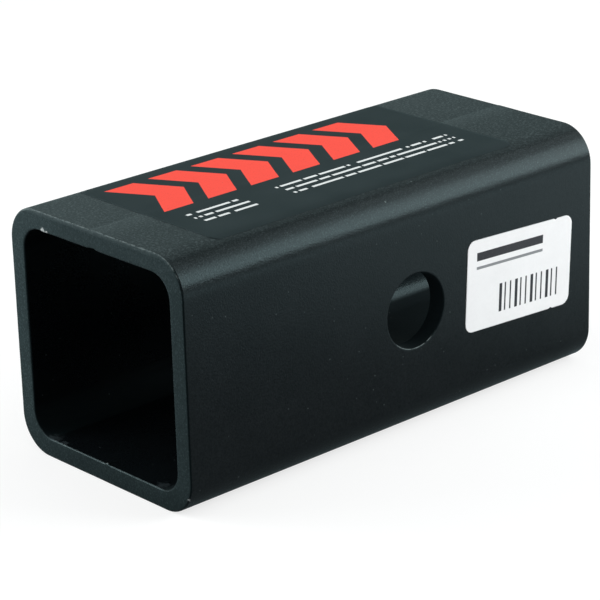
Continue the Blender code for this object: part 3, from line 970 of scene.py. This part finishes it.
world = bpy.data.worlds.new("white surround")
world.use_nodes = True
world_tree = world.node_tree
surround = world_tree.nodes["Background"]
seen, in_sheen = light_path(world_tree)
direction = node(world_tree, "TexCoord").outputs["Generated"]
turned = node(world_tree, "VectorMath", {0: direction, 1: MIRRORED_TURN}, operation="DOT_PRODUCT")
mirrored = ramp(world_tree, turned.outputs["Value"], *MIRRORED_RUN, MIRRORED_RIGHT, MIRRORED_LEFT)
plain = ramp(world_tree, seen, 0.0, 1.0, SURROUND_FILL, 1.0)
surround_strength = node(world_tree, "Mix", {0: in_sheen, 2: plain, 3: mirrored}).outputs[0]
surround_colour = blended(world_tree, in_sheen, WHITE, MIRRORED_COLOUR)
world_tree.links.new(surround_colour, surround.inputs["Color"])
world_tree.links.new(surround_strength, surround.inputs["Strength"])
bpy.context.scene.world = world


def soft_box(name, bearing, rise, away, width, height, glow, roll=0, top_share=1.0):
    """A rectangular lamp with very slightly cool light. It faces the middle of the sleeve, and the camera
    doesn't see it.

    Its place is away from there along its bearing, in degrees from +X towards +Y, and its rise above the
    level. Roll turns it in its own plane, in degrees. Its glow is how bright its face is, where white paper
    in plain light is 1, and along its height that falls straight to the top's share.
    """
    lamp = bpy.data.lights.new(name, "AREA")
    lamp.shape = "RECTANGLE"
    lamp.size = width
    lamp.size_y = height
    lamp.energy = glow * math.pi * width * height
    lamp.color = LAMP_COLOUR
    lamp.use_nodes = True
    tree = lamp.node_tree
    up = node(tree, "SeparateXYZ", {0: node(tree, "NewGeometry").outputs["Parametric"]}).outputs[1]
    tree.links.new(ramp(tree, up, 0.0, 1.0, 1.0, top_share), tree.nodes["Emission"].inputs["Strength"])
    made = bpy.data.objects.new(name, lamp)
    bpy.context.scene.collection.objects.link(made)
    turn = Matrix.Rotation(math.radians(bearing), 3, "Z") @ Matrix.Rotation(math.radians(-rise), 3, "Y")
    from_sleeve = turn @ Vector((away, 0, 0))
    made.location = Vector((0, 0, AXIS_HEIGHT)) + from_sleeve
    facing = (-from_sleeve).to_track_quat("-Z", "Y") @ Quaternion((0, 0, 1), math.radians(roll))
    made.rotation_euler = facing.to_euler()
    made.visible_camera = False
    return made


soft_box(
    "front_right_box",
    bearing=-42,
    rise=26,
    away=0.85,
    width=0.64,
    height=0.50,
    glow=9.2,
    roll=-12,
    top_share=0.55,
)
soft_box("right_box", bearing=-22, rise=47, away=0.75, width=0.44, height=0.18, glow=2.1, roll=-12)
soft_box("left_box", bearing=140, rise=12, away=0.42, width=0.28, height=0.14, glow=9.0)
soft_box("back_left_box", bearing=118, rise=38, away=1.1, width=0.6, height=0.25, glow=8.0)
soft_box("overhead_box", bearing=-90, rise=84, away=1.1, width=0.8, height=0.8, glow=0.6)

# The camera: a long lens, a little under seven tenths of a metre from the sleeve, turned and rolled as
# the one that took the photograph was.
CAMERA_PLACE = (-0.42098, -0.46124, 0.26210)
CAMERA_HEADING = math.radians(-42.0854)
CAMERA_TILT = math.radians(69.4346)
CAMERA_ROLL = math.radians(-1.6459)
CAMERA_LENS = 159.83
CAMERA_FILM = 36.0

camera_data = bpy.data.cameras.new("camera")
camera_data.sensor_width = CAMERA_FILM
camera_data.lens = CAMERA_LENS
camera = bpy.data.objects.new("camera", camera_data)
bpy.context.scene.collection.objects.link(camera)
camera.matrix_world = (
    Matrix.Translation(CAMERA_PLACE)
    @ Matrix.Rotation(CAMERA_HEADING, 4, "Z")
    @ Matrix.Rotation(CAMERA_TILT, 4, "X")
    @ Matrix.Rotation(CAMERA_ROLL, 4, "Z")
)
bpy.context.scene.camera = camera
bpy.context.scene.view_settings.view_transform = "Standard"
